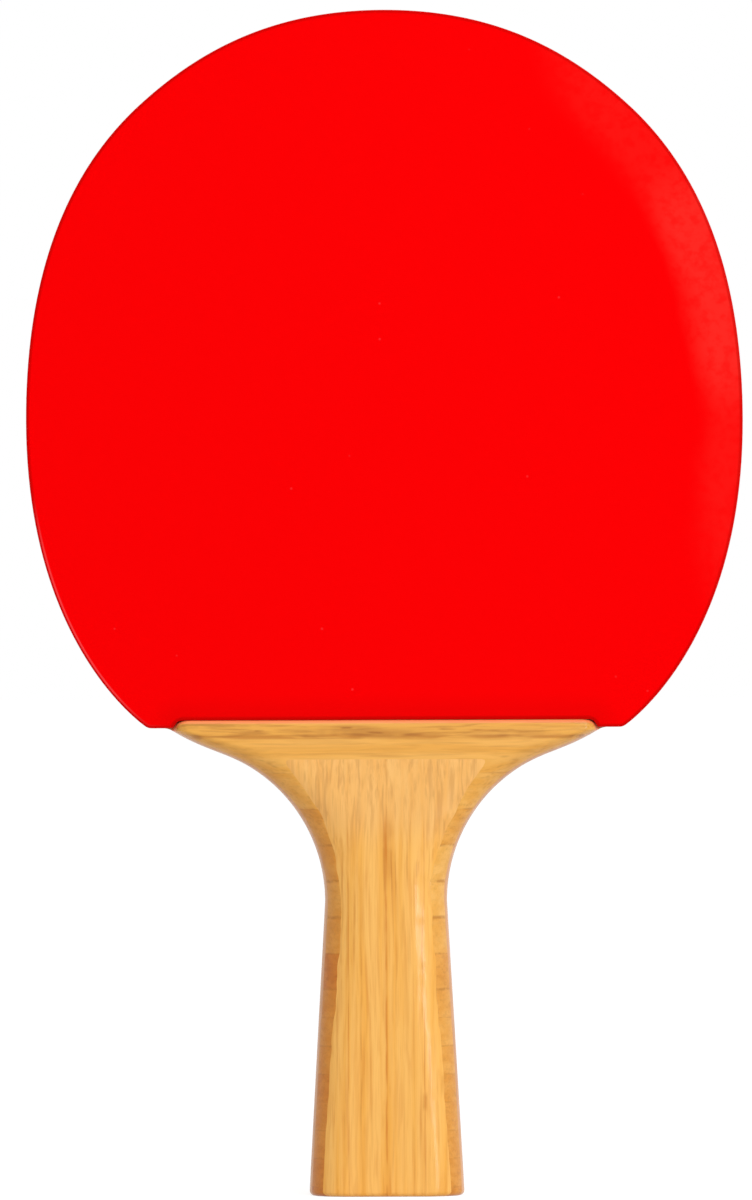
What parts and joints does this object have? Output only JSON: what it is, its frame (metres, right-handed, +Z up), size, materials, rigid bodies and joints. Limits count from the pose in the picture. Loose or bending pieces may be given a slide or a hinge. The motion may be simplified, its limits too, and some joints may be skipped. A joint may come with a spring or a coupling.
{
  "type": "table tennis racket",
  "caption": "Shakehand table tennis racket with a rounded blade, a smooth rubber on each side and a flared, laminated bamboo handle.",
  "frame": {"origin": "centre of the handle's flat end face, on which the racket stands", "axes": "+Z up the racket from the handle's end to the blade's top; -Y out of the red playing face; +X to the right when the red face is looked at with the handle down"},
  "size_m": [0.151, 0.022, 0.25],
  "materials": {
    "red_rubber": "smooth bright red rubber, satin",
    "black_rubber": "smooth black rubber, satin",
    "front_sponge": "fine orange-red foam rubber, matt",
    "back_sponge": "fine yellow foam rubber, matt",
    "bamboo_face": "lacquered bamboo, grain up the handle",
    "bamboo_cross_grain": "lacquered bamboo, grain across the handle",
    "bamboo_inner": "lacquered bamboo, grain up the handle",
    "bamboo_core": "bamboo, grain across the blade",
    "bamboo_blade": "bamboo, grain up the blade"
  },
  "bodies": {
    "root": {"back_cross_strip_01": "bamboo_cross_grain", "back_cross_strip_02": "bamboo_cross_grain", "back_cross_strip_03": "bamboo_cross_grain", "back_cross_strip_04": "bamboo_cross_grain", "back_cross_strip_05": "bamboo_cross_grain", "back_cross_strip_06": "bamboo_cross_grain", "back_cross_strip_07": "bamboo_cross_grain", "back_cross_strip_08": "bamboo_cross_grain", "back_cross_strip_09": "bamboo_cross_grain", "back_cross_strip_10": "bamboo_cross_grain", "back_cross_strip_11": "bamboo_cross_grain", "back_cross_strip_12": "bamboo_cross_grain", "back_cross_strip_13": "bamboo_cross_grain", "back_cross_strip_14": "bamboo_cross_grain", "back_cross_strip_15": "bamboo_cross_grain", "back_cross_strip_16": "bamboo_cross_grain", "back_face_strip_left_1": "bamboo_face", "back_face_strip_left_2": "bamboo_face", "back_face_strip_left_3": "bamboo_face", "back_face_strip_right_1": "bamboo_face", "back_face_strip_right_2": "bamboo_face", "back_face_strip_right_3": "bamboo_face", "back_inner_ply": "bamboo_inner", "back_sponge": "back_sponge", "back_topsheet": "black_rubber", "blade_back_ply": "bamboo_blade", "blade_core_ply": "bamboo_core", "blade_front_ply": "bamboo_blade", "front_cross_strip_01": "bamboo_cross_grain", "front_cross_strip_02": "bamboo_cross_grain", "front_cross_strip_03": "bamboo_cross_grain", "front_cross_strip_04": "bamboo_cross_grain", "front_cross_strip_05": "bamboo_cross_grain", "front_cross_strip_06": "bamboo_cross_grain", "front_cross_strip_07": "bamboo_cross_grain", "front_cross_strip_08": "bamboo_cross_grain", "front_cross_strip_09": "bamboo_cross_grain", "front_cross_strip_10": "bamboo_cross_grain", "front_cross_strip_11": "bamboo_cross_grain", "front_cross_strip_12": "bamboo_cross_grain", "front_cross_strip_13": "bamboo_cross_grain", "front_cross_strip_14": "bamboo_cross_grain", "front_cross_strip_15": "bamboo_cross_grain", "front_cross_strip_16": "bamboo_cross_grain", "front_face_strip_left_1": "bamboo_face", "front_face_strip_left_2": "bamboo_face", "front_face_strip_left_3": "bamboo_face", "front_face_strip_right_1": "bamboo_face", "front_face_strip_right_2": "bamboo_face", "front_face_strip_right_3": "bamboo_face", "front_inner_ply": "bamboo_inner", "front_sponge": "front_sponge", "front_topsheet": "red_rubber"}
  },
  "joints": []
}
